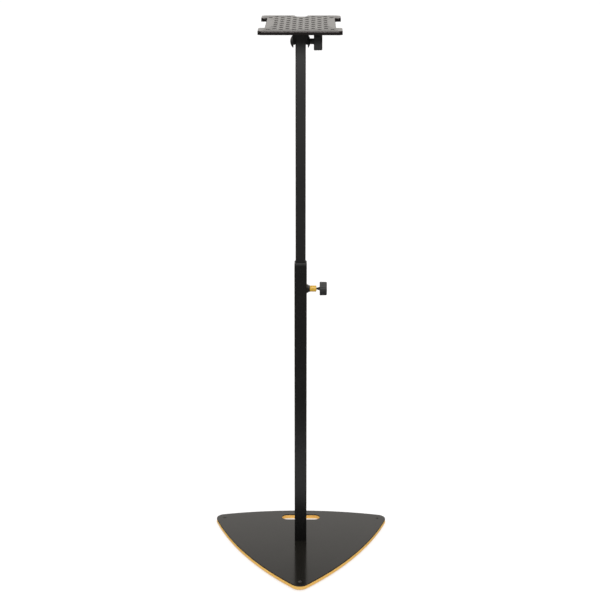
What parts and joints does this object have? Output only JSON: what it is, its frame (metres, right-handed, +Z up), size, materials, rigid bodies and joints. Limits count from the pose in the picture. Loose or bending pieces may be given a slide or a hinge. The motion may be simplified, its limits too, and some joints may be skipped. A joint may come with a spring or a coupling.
{
  "type": "speaker stand",
  "caption": "Height-adjustable stand for a speaker: bowed-triangle flat base, telescopic square column with side clamp, and a tilting perforated tray.",
  "frame": {"origin": "on the floor, under the middle of the base's footprint box; the column axis stands 53.5 mm behind it", "axes": "+Z up along the column, -Y towards the front corner of the base, +X towards the two hand knobs"},
  "size_m": [0.5182, 0.483, 1.5435],
  "materials": {
    "accent_board": "lacquered fibre board, yellow-orange",
    "black_sheet": "satin black powder coat",
    "black_screws": "blackened steel",
    "rubber_pads": "matt rubber",
    "column_bolt": "zinc plated",
    "column_washer": "zinc plated",
    "foot_plug": "plain steel",
    "lower_tube": "satin black powder coat",
    "guide_collar": "black nylon",
    "clamp_boss": "satin black powder coat",
    "clamp_bush": "yellow nylon",
    "clamp_pad": "natural nylon",
    "clamp_stud": "blackened steel",
    "clamp_knob": "moulded black",
    "upper_tube": "satin black powder coat",
    "slide_shoe": "natural nylon",
    "top_plug": "moulded black",
    "friction_washer_left": "black nylon",
    "friction_washer_right": "black nylon",
    "tray": "satin black powder coat",
    "yoke": "satin black powder coat",
    "tilt_bolt": "zinc plated",
    "dome_cap": "moulded black",
    "dome_washer": "satin black",
    "tilt_knob": "moulded black",
    "tilt_knob_nut": "zinc plated"
  },
  "bodies": {
    "base": {"base_board": "accent_board", "base_top_sheet": "black_sheet", "corner_screws": "black_screws", "rubber_pads": "rubber_pads", "column_bolt": "column_bolt", "column_washer": "column_washer", "foot_plug": "foot_plug", "lower_tube": "lower_tube", "guide_collar": "guide_collar", "clamp_boss": "clamp_boss", "clamp_bush": "clamp_bush"},
    "clamp_pad": {"clamp_pad": "clamp_pad"},
    "clamp_screw": {"clamp_stud": "clamp_stud", "clamp_knob": "clamp_knob"},
    "upper_column": {"upper_tube": "upper_tube", "slide_shoe": "slide_shoe", "top_plug": "top_plug"},
    "head": {"tray": "tray", "yoke": "yoke", "friction_washer_left": "friction_washer_left", "friction_washer_right": "friction_washer_right", "tilt_bolt": "tilt_bolt", "dome_cap": "dome_cap"},
    "tilt_washer": {"dome_washer": "dome_washer"},
    "tilt_knob": {"tilt_knob": "tilt_knob", "tilt_knob_nut": "tilt_knob_nut"}
  },
  "joints": [
    {"name": "column_slide", "type": "slide", "parent": "base", "child": "upper_column", "axis": [0, 0, 1], "range_m": [-0.58, 0.1]},
    {"name": "clamp_travel", "type": "slide", "parent": "base", "child": "clamp_pad", "axis": [1, 0, 0], "range_m": [0, 0.00202]},
    {"name": "clamp_turn", "type": "hinge", "parent": "clamp_pad", "child": "clamp_screw", "pos_m": [0.06, 0.05354, 0.798], "axis": [1, 0, 0], "range_deg": [0, 720]},
    {"name": "tray_tilt", "type": "hinge", "parent": "upper_column", "child": "head", "pos_m": [0, 0.05354, 1.4945], "axis": [1, 0, 0], "range_deg": [-20, 20]},
    {"name": "tilt_washer_travel", "type": "slide", "parent": "head", "child": "tilt_washer", "axis": [1, 0, 0], "range_m": [0, 0.00252]},
    {"name": "tilt_knob_turn", "type": "hinge", "parent": "tilt_washer", "child": "tilt_knob", "pos_m": [0.045, 0.05354, 1.4945], "axis": [1, 0, 0], "range_deg": [0, 720]}
  ],
  "couplings": [
    {"joint": "clamp_travel", "follows": "clamp_turn", "m_per_rad": 0.00015915},
    {"joint": "tilt_washer_travel", "follows": "tilt_knob_turn", "m_per_rad": 0.00019894}
  ]
}
